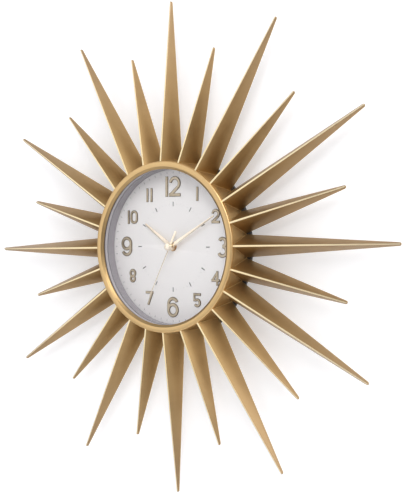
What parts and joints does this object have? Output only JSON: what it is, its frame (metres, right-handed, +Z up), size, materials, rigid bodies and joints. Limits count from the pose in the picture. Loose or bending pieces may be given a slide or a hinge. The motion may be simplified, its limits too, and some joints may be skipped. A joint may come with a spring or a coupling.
{
  "type": "sunburst wall clock",
  "caption": "Round wall clock with a deep brushed bezel, raised numerals and a battery movement, ringed by hollow tapering metal rays, long and short by turns.",
  "frame": {"origin": "on the wall plane, at the middle of the keyhole's round end on the back", "axes": "+Y points into the wall and the dial faces -Y, +X is the clock's right seen from the front, +Z is up"},
  "size_m": [0.6998, 0.0525, 0.6998],
  "materials": {
    "ray_gold": "satin bronze-gold lacquer",
    "bezel_gold": "brushed light gold",
    "lens_glass": "clear flat glass",
    "reveal_grey": "satin silver grey",
    "dial_white": "matt off-white print",
    "numeral_gold": "polished champagne gold",
    "back_board": "black painted fibreboard",
    "black_plastic": "fine-grained black moulding",
    "pad_rubber": "soft dark rubber",
    "dark_screw": "black oxide",
    "zinc_screw": "bright zinc",
    "hand_gold": "polished pale rose gold",
    "brass": "turned brass",
    "wheel_plastic": "natural moulded acetal",
    "magnet_steel": "dark magnet with moulded pinion",
    "core_iron": "stamped soft iron",
    "copper_wire": "enamelled copper wire",
    "board_green": "green solder mask",
    "crystal_can": "drawn metal can",
    "contact_plate": "nickel plated spring steel",
    "knob_white": "ribbed off-white moulding",
    "battery_jacket": "plain printed jacket"
  },
  "bodies": {
    "case": {"bezel": "bezel_gold", "lens": "lens_glass", "reveal_ring": "reveal_grey", "drum": "ray_gold", "dial": "dial_white", "numerals": "numeral_gold", "back_plate": "back_board", "rear_cover": "black_plastic", "wall_pads": "pad_rubber", "ray_screws": "dark_screw", "cover_screws": "zinc_screw", "hex_nut": "brass", "brass_washer": "brass", "rubber_washer": "pad_rubber", "threaded_bushing": "brass", "movement_front_case": "black_plastic", "movement_back_case": "black_plastic", "stator": "core_iron", "coil_core": "core_iron", "coil_winding": "copper_wire", "circuit_board": "board_green", "quartz_crystal": "crystal_can", "contact_positive": "contact_plate", "contact_negative": "contact_plate", "ray_01": "ray_gold", "ray_02": "ray_gold", "ray_03": "ray_gold", "ray_04": "ray_gold", "ray_05": "ray_gold", "ray_06": "ray_gold", "ray_07": "ray_gold", "ray_08": "ray_gold", "ray_09": "ray_gold", "ray_10": "ray_gold", "ray_11": "ray_gold", "ray_12": "ray_gold", "ray_13": "ray_gold", "ray_14": "ray_gold", "ray_15": "ray_gold", "ray_16": "ray_gold", "ray_17": "ray_gold", "ray_18": "ray_gold", "ray_19": "ray_gold", "ray_20": "ray_gold", "ray_21": "ray_gold", "ray_22": "ray_gold", "ray_23": "ray_gold", "ray_24": "ray_gold"},
    "hour_works": {"hour_wheel": "wheel_plastic", "hour_hand": "hand_gold"},
    "minute_works": {"centre_wheel": "brass", "minute_hand": "hand_gold"},
    "second_works": {"second_wheel": "wheel_plastic", "second_hand": "hand_gold"},
    "third_works": {"third_wheel": "wheel_plastic"},
    "motion_works": {"minute_wheel": "wheel_plastic"},
    "intermediate_works": {"intermediate_wheel": "wheel_plastic"},
    "rotor_works": {"rotor": "magnet_steel"},
    "setting_works": {"setting_knob": "knob_white"},
    "battery_cell": {"battery": "battery_jacket"}
  },
  "joints": [
    {"name": "minute_hand_turn", "type": "hinge", "parent": "case", "child": "minute_works", "pos_m": [0, -0.02, -0.078], "axis": [0, 1, 0], "continuous": true},
    {"name": "hour_hand_turn", "type": "hinge", "parent": "case", "child": "hour_works", "pos_m": [0, -0.02, -0.078], "axis": [0, 1, 0], "continuous": true},
    {"name": "second_hand_turn", "type": "hinge", "parent": "case", "child": "second_works", "pos_m": [0, -0.02, -0.078], "axis": [0, 1, 0], "continuous": true},
    {"name": "third_wheel_turn", "type": "hinge", "parent": "case", "child": "third_works", "pos_m": [-0.0072, -0.02, -0.078], "axis": [0, 1, 0], "continuous": true},
    {"name": "minute_wheel_turn", "type": "hinge", "parent": "case", "child": "motion_works", "pos_m": [0.00792, -0.02, -0.078], "axis": [0, 1, 0], "continuous": true},
    {"name": "intermediate_wheel_turn", "type": "hinge", "parent": "case", "child": "intermediate_works", "pos_m": [0.0036, -0.02, -0.07176], "axis": [0, 1, 0], "continuous": true},
    {"name": "rotor_turn", "type": "hinge", "parent": "case", "child": "rotor_works", "pos_m": [0.0064, -0.02, -0.06691], "axis": [0, 1, 0], "continuous": true},
    {"name": "setting_knob_turn", "type": "hinge", "parent": "case", "child": "setting_works", "pos_m": [0.01246, -0.02, -0.07151], "axis": [0, 1, 0], "continuous": true},
    {"name": "battery_slide", "type": "slide", "parent": "case", "child": "battery_cell", "axis": [0, 1, 0], "range_m": [0, 0.04]}
  ],
  "couplings": [
    {"joint": "hour_hand_turn", "follows": "minute_hand_turn", "ratio": 0.083333},
    {"joint": "second_hand_turn", "follows": "minute_hand_turn", "ratio": 60},
    {"joint": "third_wheel_turn", "follows": "minute_hand_turn", "ratio": -8},
    {"joint": "minute_wheel_turn", "follows": "minute_hand_turn", "ratio": -0.33333},
    {"joint": "intermediate_wheel_turn", "follows": "minute_hand_turn", "ratio": -300},
    {"joint": "rotor_turn", "follows": "minute_hand_turn", "ratio": 1800},
    {"joint": "setting_knob_turn", "follows": "minute_hand_turn", "ratio": 1}
  ]
}
